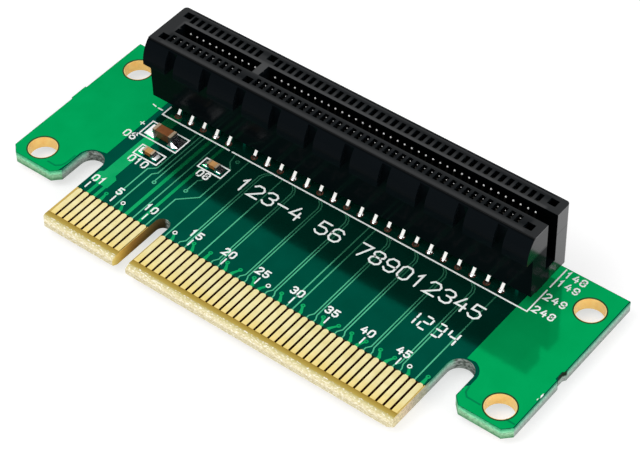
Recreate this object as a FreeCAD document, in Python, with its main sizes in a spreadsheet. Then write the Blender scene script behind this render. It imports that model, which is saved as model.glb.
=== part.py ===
import FreeCAD, Part
import math
import os
import Sketcher
from FreeCAD import Vector

# Riser card for an eight-lane expansion slot.
# X runs along the card edge, Y from the card edge to the rear, Z up through the board.
# Origin: centre of the key notch, on the front edge, in the underside of the board.

doc = FreeCAD.newDocument("PcieRiserCard")
sheet = doc.addObject("Spreadsheet::Sheet", "Dimensions")

SIZES = {
    # card-edge contacts, counted away from the key notch
    "pitch": 1.0,
    "key_gap": 1.5,
    "short_count": 11,
    "long_count": 38,
    "finger_width": 0.7,
    "finger_setback": 0.65,
    "finger_length": 4.95,
    "finger_corner": 0.2,
    "finger_thick": 0.05,
    # board
    "board_thick": 1.57,
    "board_depth": 30.15,
    "tab_front": 6.3,
    "tab_chamfer": 1.0,
    "tab_left_width": 7.55,
    "tab_right_width": 7.65,
    "edge_margin_left": 0.7,
    "edge_margin_right": 0.5,
    "edge_chamfer": 0.5,
    "notch_width": 3.4,
    "left_notch_depth": 12.3,
    "right_notch_depth": 12.1,
    "key_width": 2.0,
    "key_depth": 8.6,
    "bevel_length": 0.75,
    "bevel_depth": 0.4,
    # break-off marks on the side edges
    "mark_depth": 0.25,
    "mark_length": 1.7,
    "right_mark_at": 16.5,
    "stub_depth": 0.18,
    "stub_length": 2.5,
    "left_stub_at": 18.8,
    # plated mounting holes, set in from the edges of the board
    "hole_radius": 1.76,
    "sleeve_wall": 0.08,
    "hole_inset_left": 3.1,
    "hole_inset_right": 2.87,
    "hole_inset_front": 2.55,
    "hole_inset_back": 3.85,
    # slot housing, heights above the board's upper face
    "slot_from_rear": 4.1,
    "slot_margin_left": 2.5,
    "slot_margin_right": 3.2,
    "slot_height": 11.25,
    "slot_half_top": 3.45,
    "slot_base": 2.0,
    "front_wall": 3.65,
    "flare_out": 4.83,
    "flare_height": 3.4,
    "flare_straight": 0.2,
    "strip_margin": 4.045,
    "strip_count": 10,
    "strip_width": 1.3,
    "strip_top": 0.3,
    "corner_round": 0.5,
    # channel for a card as thick as this one, and the cavities beside it
    "card_clearance": 0.165,
    "channel_margin": 0.6,
    "channel_floor": 4.1,
    "rib_x": 0.35,
    "rib_width": 1.0,
    "rail_height": 1.0,
    "cavity_width": 0.6,
    "cavity_inner": 1.4,
    "cavity_outer": 2.65,
    "sill_height": 0.3,
    "core_size": 1.1,
    "core_inner": 1.8,
    "core_outer": 2.8,
    "core_depth": 2.5,
    "core_margin_left": 1.05,
    "core_margin_right": 1.65,
    # feet and locating pegs under the housing
    "foot_length": 1.1,
    "foot_half": 1.2,
    "foot_inset": 0.9,
    "peg_radius": 0.85,
    "peg_clearance": 0.08,
    "peg_inset": 1.7,
    # spring contacts
    "metal": 0.2,
    "contact_side_gap": 0.1,
    "contact_wall_gap": 0.1,
    "contact_preload": 0.035,
    "exit_gap": 0.2,
    "beam_rise": 3.2,
    "bulge_drop": 3.25,
    "tip_gap": 0.65,
    "tip_drop": 0.5,
    "row_outer": 3.25,
    "row_inner": 1.25,
    "drill_clearance": 0.2,
    "tail_kink": 0.1,
    # solder
    "fillet_ring": 0.12,
    "fillet_top": 0.26,
    "fillet_height": 0.3,
    "joint_ring": 0.2,
    "joint_tip": 0.24,
    "joint_height": 1.1,
    # chip capacitors, placed from the key notch and from the slot's middle line
    "large_x": 9.3,
    "large_ahead": 7.03,
    "large_length": 2.86,
    "large_width": 1.2,
    "large_height": 1.1,
    "large_end": 0.42,
    "large_pad": 1.2,
    "large_pad_width": 1.9,
    "large_solder": 0.7,
    "left_x": 8.95,
    "left_ahead": 10.33,
    "right_x": 1.3,
    "right_ahead": 7.47,
    "small_length": 1.5,
    "small_width": 0.8,
    "small_height": 0.52,
    "small_end": 0.3,
    "small_pad": 0.7,
    "small_pad_width": 0.95,
    "small_solder": 0.4,
    "cap_lip": 0.03,
    "solder_edge": 0.08,
    "solder_reach": 0.9,
    "solder_knee": 0.35,
}

for number, (alias, amount) in enumerate(SIZES.items(), start=1):
    sheet.set("A%d" % number, alias)
    sheet.set("B%d" % number, str(amount))
    sheet.setAlias("B%d" % number, alias)
doc.recompute()


class Size:
    """A length that carries both its value and the expression that gives it."""

    def __init__(self, text, value):
        self.text = text
        self.value = value

    def joined(self, sign, other, value):
        return Size("(%s %s %s)" % (self.text, sign, as_size(other).text), value)

    def __add__(self, other):
        return self.joined("+", other, self.value + as_size(other).value)

    def __sub__(self, other):
        return self.joined("-", other, self.value - as_size(other).value)

    def __mul__(self, other):
        return self.joined("*", other, self.value * as_size(other).value)

    def __truediv__(self, other):
        return self.joined("/", other, self.value / as_size(other).value)

    def __neg__(self):
        return Size("(0 - %s)" % self.text, -self.value)


def as_size(amount):
    return amount if isinstance(amount, Size) else Size(str(amount), amount)


D = {alias: Size("Dimensions." + alias, amount) for alias, amount in SIZES.items()}
ZERO = as_size(0)
SPARE = as_size(1)


# ---------------------------------------------------------------- helpers

def new_body(name):
    body = doc.addObject("PartDesign::Body", name)
    body.Label = name
    body.AllowCompound = True
    return body


def datum(body, role):
    for feature in body.Origin.OriginFeatures:
        if feature.Role == role:
            return feature


def new_sketch(body, name, role, offset=None):
    sketch = body.newObject("Sketcher::SketchObject", name)
    sketch.AttachmentSupport = (datum(body, role), [""])
    sketch.MapMode = "FlatFace"
    if offset is not None:
        sketch.setExpression("AttachmentOffset.Base.z", offset.text)
    return sketch


def fix_point(sketch, geometry, point, corner):
    for kind, distance in zip(("DistanceX", "DistanceY"), corner):
        distance = as_size(distance)
        rule = Sketcher.Constraint(kind, -1, 1, geometry, point, distance.value)
        index = sketch.addConstraint(rule)
        sketch.setExpression("Constraints[%d]" % index, distance.text)


def polygon(sketch, corners):
    """Closed outline whose corners each lie at their own two distances from the origin."""
    first = sketch.GeometryCount
    count = len(corners)
    spots = [Vector(as_size(x).value, as_size(y).value, 0) for x, y in corners]
    for i in range(count):
        start, end = spots[i], spots[(i + 1) % count]
        sketch.addGeometry(Part.LineSegment(start, end), False)
    for i in range(count):
        following = first + (i + 1) % count
        sketch.addConstraint(Sketcher.Constraint("Coincident", first + i, 2, following, 1))
    for i in range(count):
        fix_point(sketch, first + i, 1, corners[i])


def rectangle(sketch, x0, x1, y0, y1):
    polygon(sketch, [(x0, y0), (x1, y0), (x1, y1), (x0, y1)])


def flats(sketch, x, y, radius, sides=6):
    """A small drilling that repeats often is drawn with flat sides."""
    turns = [2 * math.pi * i / sides for i in range(sides)]
    spots = [(round(math.cos(turn), 6), round(math.sin(turn), 6)) for turn in turns]
    polygon(sketch, [(x + radius * across, y + radius * along) for across, along in spots])


def circle(sketch, x, y, radius):
    x, y, radius = as_size(x), as_size(y), as_size(radius)
    centre = Vector(x.value, y.value, 0)
    ring = sketch.addGeometry(Part.Circle(centre, Vector(0, 0, 1), radius.value), False)
    fix_point(sketch, ring, 3, (x, y))
    index = sketch.addConstraint(Sketcher.Constraint("Radius", ring, radius.value))
    sketch.setExpression("Constraints[%d]" % index, radius.text)


def pad(body, sketch, length, both_sides=False):
    feature = body.newObject("PartDesign::Pad", sketch.Name + "_pad")
    feature.Profile = sketch
    feature.setExpression("Length", length.text)
    if both_sides:
        feature.SideType = "Symmetric"
    body.Tip = feature
    return feature


def cut(body, sketch, depth, upward=False, both_sides=False):
    """Pocket that must take material away."""
    doc.recompute()
    before = body.Shape.Volume
    feature = body.newObject("PartDesign::Pocket", sketch.Name + "_cut")
    feature.Profile = sketch
    feature.setExpression("Length", depth.text)
    if both_sides:
        feature.SideType = "Symmetric"
    feature.Reversed = upward
    body.Tip = feature
    doc.recompute()
    if body.Shape.Volume > before - 1e-6:
        raise RuntimeError(sketch.Name + " cuts nothing")
    return feature


def row_of(body, feature, count, spacing):
    pattern = body.newObject("PartDesign::LinearPattern", feature.Name + "_row")
    pattern.Originals = [feature]
    pattern.Direction = (datum(body, "X_Axis"), [""])
    pattern.setExpression("Length", ((count - 1) * spacing).text)
    pattern.setExpression("Occurrences", count.text)
    body.Tip = pattern


# ---------------------------------------------------------------- shared places

def half_count(size, kind):
    """Half of a count, with kind floor or ceil."""
    return Size("%s(%s / 2)" % (kind, size.text), getattr(math, kind)(size.value / 2))


top = D["board_thick"]
short_end = D["key_gap"] + (D["short_count"] - 1) * D["pitch"]
long_end = D["key_gap"] + (D["long_count"] - 1) * D["pitch"]
double_pitch = D["pitch"] * 2
sleeve_outer = D["hole_radius"] + D["sleeve_wall"]

left_notch_x1 = -(short_end + D["edge_margin_left"])
left_notch_x0 = left_notch_x1 - D["notch_width"]
right_notch_x0 = long_end + D["edge_margin_right"]
right_notch_x1 = right_notch_x0 + D["notch_width"]
notch_radius = D["notch_width"] / 2
left_notch_y = D["left_notch_depth"] - notch_radius
right_notch_y = D["right_notch_depth"] - notch_radius
left = left_notch_x0 - D["tab_left_width"]
right = right_notch_x1 + D["tab_right_width"]
key_half = D["key_width"] / 2

slot_y = D["board_depth"] - D["slot_from_rear"]
slot_x0 = -(short_end + D["slot_margin_left"])
slot_x1 = long_end + D["slot_margin_right"]
slot_top = top + D["slot_height"]
slot_bottom = top + D["slot_base"]

contact_width = D["cavity_width"] - D["contact_side_gap"] * 2
drill_radius = contact_width / 2 + D["drill_clearance"]

# Each side's contacts alternate between an outer and an inner row of drillings.
# A run is (name, first x, how many, outer or inner row), spaced at twice the pitch.
RUNS = (
    ("outer_short", D["pitch"] - short_end,
     half_count(D["short_count"], "floor"), D["row_outer"]),
    ("inner_short", -short_end,
     half_count(D["short_count"], "ceil"), D["row_inner"]),
    ("outer_long", D["key_gap"],
     half_count(D["long_count"], "ceil"), D["row_outer"]),
    ("inner_long", D["key_gap"] + D["pitch"],
     half_count(D["long_count"], "floor"), D["row_inner"]),
)
# The contacts on either side of the key: (name, first x, how many), spaced at the pitch.
SIDES = (
    ("short", -short_end, D["short_count"]),
    ("long", D["key_gap"], D["long_count"]),
)


# ---------------------------------------------------------------- circuit board

board = new_body("circuit_board")
outline = new_sketch(board, "board_outline", "XY_Plane")
front, chamfer, nick = D["tab_front"], D["tab_chamfer"], D["edge_chamfer"]
polygon(outline, [
    (left, D["board_depth"]),
    (left, front + chamfer),
    (left + chamfer, front),
    (left_notch_x0 - chamfer, front),
    (left_notch_x0, front + chamfer),
    (left_notch_x0, left_notch_y),
    (left_notch_x1, left_notch_y),
    (left_notch_x1, nick),
    (left_notch_x1 + nick, ZERO),
    (right_notch_x0 - nick, ZERO),
    (right_notch_x0, nick),
    (right_notch_x0, right_notch_y),
    (right_notch_x1, right_notch_y),
    (right_notch_x1, front + chamfer),
    (right_notch_x1 + chamfer, front),
    (right - chamfer, front),
    (right, front + chamfer),
    (right, D["board_depth"]),
])
pad(board, outline, top)

stub = new_sketch(board, "breakoff_stub", "XY_Plane")
stub_half = D["stub_length"] / 2
rectangle(stub, left - D["stub_depth"], left + SPARE,
          D["left_stub_at"] - stub_half, D["left_stub_at"] + stub_half)
pad(board, stub, top)

ends = new_sketch(board, "notch_ends", "XY_Plane")
circle(ends, left_notch_x0 + notch_radius, left_notch_y, notch_radius)
circle(ends, right_notch_x0 + notch_radius, right_notch_y, notch_radius)
cut(board, ends, top, upward=True)

key = new_sketch(board, "key_notch", "XY_Plane")
rectangle(key, -key_half, key_half, -SPARE, D["key_depth"] - key_half)
cut(board, key, top, upward=True)
key_end = new_sketch(board, "key_notch_end", "XY_Plane")
circle(key_end, ZERO, D["key_depth"] - key_half, key_half)
cut(board, key_end, top, upward=True)

mark = new_sketch(board, "breakoff_mark", "XY_Plane")
mark_half = D["mark_length"] / 2
mark_in = right - D["mark_depth"]
polygon(mark, [
    (right + SPARE, D["right_mark_at"] - mark_half),
    (right, D["right_mark_at"] - mark_half),
    (mark_in, D["right_mark_at"] - mark_half / 2),
    (mark_in, D["right_mark_at"] + mark_half / 2),
    (right, D["right_mark_at"] + mark_half),
    (right + SPARE, D["right_mark_at"] + mark_half),
])
cut(board, mark, top, upward=True)

mounting = new_sketch(board, "mounting_holes", "XY_Plane")
HOLES = {
    "front_left": (left + D["hole_inset_left"], D["tab_front"] + D["hole_inset_front"]),
    "back_left": (left + D["hole_inset_left"], D["board_depth"] - D["hole_inset_back"]),
    "front_right": (right - D["hole_inset_right"], D["tab_front"] + D["hole_inset_front"]),
    "back_right": (right - D["hole_inset_right"], D["board_depth"] - D["hole_inset_back"]),
}
for x, y in HOLES.values():
    circle(mounting, x, y, sleeve_outer)
cut(board, mounting, top, upward=True)

peg_holes = new_sketch(board, "peg_holes", "XY_Plane")
PEGS = (D["rib_x"], slot_x1 - D["peg_inset"])
for x in PEGS:
    flats(peg_holes, x, slot_y, D["peg_radius"] + D["peg_clearance"])
cut(board, peg_holes, top, upward=True)

for run, x, count, offset in RUNS:
    drill = new_sketch(board, "drill_" + run, "XY_Plane")
    flats(drill, x, slot_y - offset, drill_radius)
    flats(drill, x, slot_y + offset, drill_radius)
    row_of(board, cut(board, drill, top, upward=True), count, double_pitch)

bevel = new_sketch(board, "edge_bevels", "YZ_Plane")
polygon(bevel, [
    (-SPARE, top - D["bevel_depth"]),
    (ZERO, top - D["bevel_depth"]),
    (D["bevel_length"], top),
    (D["bevel_length"], top + SPARE),
    (-SPARE, top + SPARE),
])
polygon(bevel, [
    (-SPARE, D["bevel_depth"]),
    (-SPARE, -SPARE),
    (D["bevel_length"], -SPARE),
    (D["bevel_length"], ZERO),
    (ZERO, D["bevel_depth"]),
])
cut(board, bevel, (right - left) * 2, both_sides=True)


# ---------------------------------------------------------------- card-edge contacts

def fingers(name, level):
    body = new_body(name)
    half, corner = D["finger_width"] / 2, D["finger_corner"]
    low = D["bevel_length"] + D["finger_setback"]
    high = low + D["finger_length"]
    for run, x, count in SIDES:
        plan = new_sketch(body, "%s_%s" % (name, run), "XY_Plane", level)
        polygon(plan, [
            (x - half, low),
            (x + half, low),
            (x + half, high - corner),
            (x + half - corner, high),
            (x - half + corner, high),
            (x - half, high - corner),
        ])
        row_of(body, pad(body, plan, D["finger_thick"]), count, D["pitch"])


fingers("gold_fingers_front", top)
fingers("gold_fingers_back", -D["finger_thick"])


# ---------------------------------------------------------------- mounting-hole sleeves

for place, (x, y) in HOLES.items():
    sleeve = new_body("hole_sleeve_" + place)
    ring = new_sketch(sleeve, "sleeve_ring_" + place, "XY_Plane")
    circle(ring, x, y, sleeve_outer)
    circle(ring, x, y, D["hole_radius"])
    pad(sleeve, ring, top)


# ---------------------------------------------------------------- slot housing

housing = new_body("slot_housing")
length = slot_x1 - slot_x0
face_front = slot_y - D["front_wall"]
face_back = slot_y + D["slot_half_top"]
lip_front = slot_y - D["slot_half_top"]
flare_front = slot_y - D["flare_out"]
flare_foot = slot_top - D["flare_height"]
flare_start = flare_foot + D["flare_straight"]

# The front swells from the lip down to a shoulder: an arc that ends upright at the shoulder.
flare_in = D["flare_out"] - D["slot_half_top"]
flare_rise = slot_top - flare_start
flare_radius = (flare_in * flare_in + flare_rise * flare_rise) / (flare_in * 2)

section = new_sketch(housing, "housing_section", "YZ_Plane")
section.setExpression("AttachmentOffset.Base.z", slot_x0.text)
SWELL = 3
corners = [
    (face_front, slot_bottom),
    (face_back, slot_bottom),
    (face_back, slot_top),
    (lip_front, slot_top),
    (flare_front, flare_start),
    (flare_front, flare_foot),
    (face_front, flare_foot),
]
spots = [Vector(y.value, z.value, 0) for y, z in corners]
hub = Vector((flare_front + flare_radius).value, flare_start.value, 0)
for i, spot in enumerate(spots):
    following = spots[(i + 1) % len(spots)]
    if i == SWELL:
        ring = Part.Circle(hub, Vector(0, 0, 1), flare_radius.value)
        swell = Part.ArcOfCircle(ring, ring.parameter(spot), ring.parameter(following))
        section.addGeometry(swell, False)
    else:
        section.addGeometry(Part.LineSegment(spot, following), False)
for i in range(len(spots)):
    following = (i + 1) % len(spots)
    section.addConstraint(Sketcher.Constraint("Coincident", i, 2, following, 1))
for i, corner in enumerate(corners):
    fix_point(section, i, 1, corner)
index = section.addConstraint(Sketcher.Constraint("Radius", SWELL, flare_radius.value))
section.setExpression("Constraints[%d]" % index, flare_radius.text)
bar = pad(housing, section, length)
doc.recompute()


def upright_edges(shape, y, spread=0.01):
    names = []
    for number, edge in enumerate(shape.Edges, start=1):
        ends = [vertex.Point for vertex in edge.Vertexes]
        if len(ends) == 2 and all(abs(point.y - y) < spread for point in ends):
            if abs(ends[0].x - ends[1].x) < spread and abs(ends[0].z - ends[1].z) > 1:
                names.append("Edge%d" % number)
    return names


# the upright corners of the rear wall are rounded
rounding = housing.newObject("PartDesign::Fillet", "rear_corners")
rounding.Base = (bar, upright_edges(bar.Shape, face_back.value))
rounding.setExpression("Radius", D["corner_round"].text)
housing.Tip = rounding

# recessed strips between the raised panels of the front
strips = new_sketch(housing, "front_strips", "XZ_Plane")
strip_half = D["strip_width"] / 2
strips.setExpression("AttachmentOffset.Base.z", (-face_front).text)
strip_x = slot_x0 + D["strip_margin"]
strip_pitch = (length - D["strip_margin"] * 2) / (D["strip_count"] - 1)
rectangle(strips, strip_x - strip_half, strip_x + strip_half,
          flare_foot - SPARE, slot_top - D["strip_top"])
row_of(housing, cut(housing, strips, D["flare_out"], upward=True),
       D["strip_count"], strip_pitch)

# card channel, open at the right-hand end and crossed by the key rib
channel = new_sketch(housing, "channel", "XY_Plane", slot_top)
channel_half = D["board_thick"] / 2 + D["card_clearance"]
rectangle(channel, -(short_end + D["channel_margin"]), D["rib_x"] - D["rib_width"] / 2,
          slot_y - channel_half, slot_y + channel_half)
rectangle(channel, D["rib_x"] + D["rib_width"] / 2, slot_x1 + SPARE,
          slot_y - channel_half, slot_y + channel_half)
cut(housing, channel, D["slot_height"] - D["channel_floor"])

# square core-outs at both ends and beside the rib
cores = new_sketch(housing, "core_outs", "XY_Plane", slot_top)
core_half = D["core_size"] / 2
core_xs = (-(short_end + D["core_margin_left"]), D["rib_x"], long_end + D["core_margin_right"])
for x in core_xs:
    rectangle(cores, x - core_half, x + core_half,
              slot_y - D["core_outer"], slot_y - D["core_inner"])
    rectangle(cores, x - core_half, x + core_half,
              slot_y + D["core_inner"], slot_y + D["core_outer"])
cut(housing, cores, D["core_depth"])

# contact cavities: a window through each wall and a mouth into the channel
half = D["cavity_width"] / 2
mouth_depth = D["slot_height"] - D["rail_height"] - D["channel_floor"] - D["sill_height"]
for run, x, count in SIDES:
    windows = new_sketch(housing, "windows_" + run, "XY_Plane", slot_top)
    rectangle(windows, x - half, x + half,
              slot_y - D["cavity_outer"], slot_y - D["cavity_inner"])
    rectangle(windows, x - half, x + half,
              slot_y + D["cavity_inner"], slot_y + D["cavity_outer"])
    row_of(housing, cut(housing, windows, D["slot_height"]), count, D["pitch"])
    mouths = new_sketch(housing, "mouths_" + run, "XY_Plane", slot_top - D["rail_height"])
    rectangle(mouths, x - half, x + half,
              slot_y - D["cavity_outer"], slot_y + D["cavity_outer"])
    row_of(housing, cut(housing, mouths, mouth_depth), count, D["pitch"])

# feet that stand on the board, and pegs that locate in it
feet = new_sketch(housing, "feet", "XY_Plane", top)
for x in (slot_x0 + D["foot_inset"], slot_x1 - D["foot_inset"] - D["foot_length"]):
    rectangle(feet, x, x + D["foot_length"],
              slot_y - D["foot_half"], slot_y + D["foot_half"])
pad(housing, feet, D["slot_base"])
pegs = new_sketch(housing, "pegs", "XY_Plane")
for x in PEGS:
    flats(pegs, x, slot_y, D["peg_radius"])
pad(housing, pegs, slot_bottom)


# ---------------------------------------------------------------- spring contacts

def strip_outline(path, thickness):
    """Corners of a bent strip: each leg is offset sideways by half the metal."""
    near = [(y - thickness / 2, z) for y, z in path]
    far = [(y + thickness / 2, z) for y, z in reversed(path)]
    return near + far


half_metal = D["metal"] / 2
exit_offset = D["cavity_inner"] + D["exit_gap"] + half_metal
beam_offset = D["cavity_outer"] - D["contact_wall_gap"] - half_metal
bulge_offset = D["board_thick"] / 2 - D["contact_preload"] + half_metal
tip_offset = D["cavity_outer"] - D["tip_gap"] - half_metal


def contact_group(name, side, runs):
    """Tail, kink on the board, exit from the housing, beam, bulge towards the card, tip."""
    body = new_body(name)
    for run, x, count, offset in runs:
        path = [
            (offset, ZERO),
            (offset, top + D["tail_kink"]),
            (exit_offset, slot_bottom),
            (beam_offset, slot_bottom + D["beam_rise"]),
            (bulge_offset, slot_top - D["bulge_drop"]),
            (tip_offset, slot_top - D["tip_drop"]),
        ]
        placed = [(slot_y + y * side, z) for y, z in path]
        plan = new_sketch(body, "%s_%s" % (name, run), "YZ_Plane", x)
        polygon(plan, strip_outline(placed, D["metal"]))
        blade = pad(body, plan, contact_width, both_sides=True)
        row_of(body, blade, count, double_pitch)


OUTER = (RUNS[0], RUNS[2])
INNER = (RUNS[1], RUNS[3])
contact_group("contacts_front_even", -1, OUTER)
contact_group("contacts_front_odd", -1, INNER)
contact_group("contacts_back_odd", 1, INNER)
contact_group("contacts_back_even", 1, OUTER)


# ---------------------------------------------------------------- solder

def joint_row(body, name, place, count, low_half, high_half, height):
    """Row of joints whose width changes along X from low_half to high_half, each way."""
    x, y, low = place
    widest = max(low_half, high_half, key=lambda size: size.value)
    side = new_sketch(body, name, "XZ_Plane", -(y + widest))
    polygon(side, [
        (x - low_half, low),
        (x + low_half, low),
        (x + high_half, low + height),
        (x - high_half, low + height),
    ])
    row_of(body, pad(body, side, widest * 2), count, double_pitch)


def slope_rows(body, name, rows, low, low_half, high_half, height):
    """Takes the same slope off the front and rear of the joints, along each whole row."""
    slopes = new_sketch(body, name, "YZ_Plane")
    widens = low_half.value < high_half.value
    widest, corner = (high_half, low) if widens else (low_half, low + height)
    for y in rows:
        for way in (-1, 1):
            polygon(slopes, [
                (y + low_half * way, low),
                (y + high_half * way, low + height),
                (y + widest * way, corner),
            ])
    cut(body, slopes, (right - left) * 2, both_sides=True)


joints = new_body("solder_underside")
joint_half = drill_radius + D["joint_ring"]
for run, x, count, offset in RUNS:
    for edge, y in (("front", slot_y - offset), ("back", slot_y + offset)):
        joint_row(joints, "joint_%s_%s" % (run, edge), (x, y, -D["joint_height"]), count,
                  D["joint_tip"], joint_half, D["joint_height"])
joint_rows = [slot_y + D[row] * way for row in ("row_outer", "row_inner") for way in (-1, 1)]
slope_rows(joints, "joint_slopes", joint_rows, -D["joint_height"],
           D["joint_tip"], joint_half, D["joint_height"])

fillets = new_body("solder_front_row")
fillet_half = drill_radius + D["fillet_ring"]
for run, x, count, offset in OUTER:
    joint_row(fillets, "fillet_" + run, (x, slot_y - offset, top), count,
              fillet_half, D["fillet_top"], D["fillet_height"])
slope_rows(fillets, "fillet_slopes", [slot_y - D["row_outer"]], top,
           fillet_half, D["fillet_top"], D["fillet_height"])
for run, x, count, offset in OUTER:
    slit = new_sketch(fillets, "tail_slit_" + run, "YZ_Plane", x)
    path = [
        (slot_y - offset, top - SPARE),
        (slot_y - offset, top + D["tail_kink"]),
        (slot_y - exit_offset, slot_bottom),
    ]
    polygon(slit, strip_outline(path, D["metal"]))
    row_of(fillets, cut(fillets, slit, contact_width, both_sides=True), count, double_pitch)


# ---------------------------------------------------------------- chip capacitors

def capacitor(name, kind, x, y):
    """Ceramic body, two plated ends, and the solder between the ends and their pads."""
    half, end = D[kind + "_length"] / 2, D[kind + "_end"]
    side, height = D[kind + "_width"] / 2, D[kind + "_height"]
    lip = D["cap_lip"]
    base = top + D["solder_edge"]

    core = new_body(name)
    plan = new_sketch(core, name + "_plan", "XY_Plane", base + lip)
    rectangle(plan, x - half + end, x + half - end, y - side, y + side)
    pad(core, plan, height)

    caps = new_body(name + "_ends")
    plan = new_sketch(caps, name + "_ends_plan", "XY_Plane", base)
    rectangle(plan, x - half, x - half + end, y - side - lip, y + side + lip)
    rectangle(plan, x + half - end, x + half, y - side - lip, y + side + lip)
    pad(caps, plan, height + lip * 2)

    joint = new_body(name + "_solder")
    reach, rise = D[kind + "_pad"], D[kind + "_solder"]
    pad_side = D[kind + "_pad_width"] / 2
    plan = new_sketch(joint, name + "_pads", "XY_Plane", top)
    rectangle(plan, x - half - reach, x - half + end, y - pad_side, y + pad_side)
    rectangle(plan, x + half - end, x + half + reach, y - pad_side, y + pad_side)
    pad(joint, plan, D["solder_edge"])
    wedges = new_sketch(joint, name + "_wedges", "XZ_Plane")
    wedges.setExpression("AttachmentOffset.Base.z", (-y).text)
    for way in (-1, 1):
        wall = x + half * way
        knee = reach * D["solder_knee"] * way
        polygon(wedges, [
            (wall, base),
            (wall + reach * D["solder_reach"] * way, base),
            (wall + knee, base + rise * D["solder_knee"]),
            (wall, base + rise),
        ])
    pad(joint, wedges, (side + lip) * 2, both_sides=True)


capacitor("capacitor_large", "large", -D["large_x"], slot_y - D["large_ahead"])
capacitor("capacitor_left", "small", -D["left_x"], slot_y - D["left_ahead"])
capacitor("capacitor_right", "small", -D["right_x"], slot_y - D["right_ahead"])


# ---------------------------------------------------------------- checks and files

doc.recompute()
for item in doc.Objects:
    if "Invalid" in item.State or "Error" in item.State:
        raise RuntimeError("%s failed: %s" % (item.Name, item.State))

NODES = [item for item in doc.Objects if item.TypeId == "PartDesign::Body"]
os.makedirs("parts", exist_ok=True)
for node in NODES:
    shape = node.Shape
    if shape.isNull() or not shape.isValid() or not shape.Solids:
        raise RuntimeError(node.Label + " has no valid shape")
for node in NODES:
    node.Shape.exportStep("parts/%s.step" % node.Label)
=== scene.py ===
"""Looks of a riser card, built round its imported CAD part.

Sizes and places are in millimetres, in the part's own frame. Meshes and materials take metres.
"""
import math

import bmesh
import bpy
from mathutils import Matrix, Quaternion, Vector


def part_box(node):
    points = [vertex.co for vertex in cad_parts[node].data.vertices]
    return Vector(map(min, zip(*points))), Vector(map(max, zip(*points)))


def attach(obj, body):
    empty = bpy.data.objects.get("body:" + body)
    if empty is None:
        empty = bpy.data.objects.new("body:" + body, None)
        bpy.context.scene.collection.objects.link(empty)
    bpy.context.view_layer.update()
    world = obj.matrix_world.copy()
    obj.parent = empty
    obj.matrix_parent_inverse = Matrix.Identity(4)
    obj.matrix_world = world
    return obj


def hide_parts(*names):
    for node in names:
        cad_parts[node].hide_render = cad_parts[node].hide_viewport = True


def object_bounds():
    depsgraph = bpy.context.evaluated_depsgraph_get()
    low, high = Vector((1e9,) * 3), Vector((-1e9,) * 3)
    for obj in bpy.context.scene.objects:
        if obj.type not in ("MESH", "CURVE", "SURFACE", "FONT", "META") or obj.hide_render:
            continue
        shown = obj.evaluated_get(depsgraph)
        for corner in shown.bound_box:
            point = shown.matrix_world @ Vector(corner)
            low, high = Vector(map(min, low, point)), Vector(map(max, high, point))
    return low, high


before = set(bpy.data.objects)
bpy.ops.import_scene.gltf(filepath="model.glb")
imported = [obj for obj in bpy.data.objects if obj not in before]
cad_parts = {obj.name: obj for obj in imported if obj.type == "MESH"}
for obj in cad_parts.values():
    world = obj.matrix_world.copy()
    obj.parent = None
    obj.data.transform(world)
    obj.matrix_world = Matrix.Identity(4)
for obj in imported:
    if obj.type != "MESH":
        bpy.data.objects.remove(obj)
cad_low, cad_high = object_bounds()


# ---------------------------------------------------------------- sizes and places

MM = 0.001


def box_mm(node):
    low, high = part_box(node)
    return low / MM, high / MM


board_high = box_mm("circuit_board")[1]
fingers_low, fingers_high = box_mm("gold_fingers_front")
housing_low, housing_high = box_mm("slot_housing")
fillets_low, fillets_high = box_mm("solder_front_row")
contacts_low = box_mm("contacts_front_even")[0]
contacts_high = box_mm("contacts_back_even")[1]
sleeves = [box_mm(name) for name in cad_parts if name.startswith("hole_sleeve")]
hole_places = [((low + high) / 2, (high.x - low.x) / 2) for low, high in sleeves]

# the board and its card edge
TOP = board_high.z
PITCH = 1.0
CONTACTS_BEFORE_KEY = 11
CONTACTS = 49
FINGER_HALF = 0.35
FINGER_TOP = fingers_high.y
EDGE_MIDDLE = 13.0
EDGE_HALF = 27.5
EDGE_RIGHT = 39.5
BEVEL_END = 0.75
STRIP_END = 1.4
MASK_START = 6.35
TABS_START = 7.4
WARM_END = 8.0
KEY_HALF = 1.0
KEY_DEPTH = 8.6
NOTCH_RADIUS = 1.7
NOTCH_SHADE = (9.0, 12.0)
LEFT_NOTCH = (-13.9, 10.6)
RIGHT_NOTCH = (40.7, 10.4)
CHIP_X = 49.3
CHIP_Y = 16.5
CHIP_DEPTH = 0.9

# the slot
SLOT_MIDDLE = (contacts_low.y + contacts_high.y) / 2
SLOT_TOP = housing_high.z
SEAM = TOP + 8.15
PANELS_BACK = housing_low.y + 1.1
LIP_FRONT = SLOT_MIDDLE - 3.38
LIP_REAR = housing_high.y - 0.4
RAILS_HALF = 3.5
RAILS_STOP = 1.9
RIB_X = 0.35
RIB_HALF = 0.40
CHANNEL_HALF = 0.85
SPRINGS_START = TOP + 2.2


def contact_x(number):
    """Middle of a card-edge contact, counted from the left."""
    if number <= CONTACTS_BEFORE_KEY:
        return fingers_low.x + FINGER_HALF + (number - 1) * PITCH
    return fingers_high.x - FINGER_HALF - (CONTACTS - number) * PITCH


# ---------------------------------------------------------------- materials

def grey(level):
    return (level, level, level)


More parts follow.
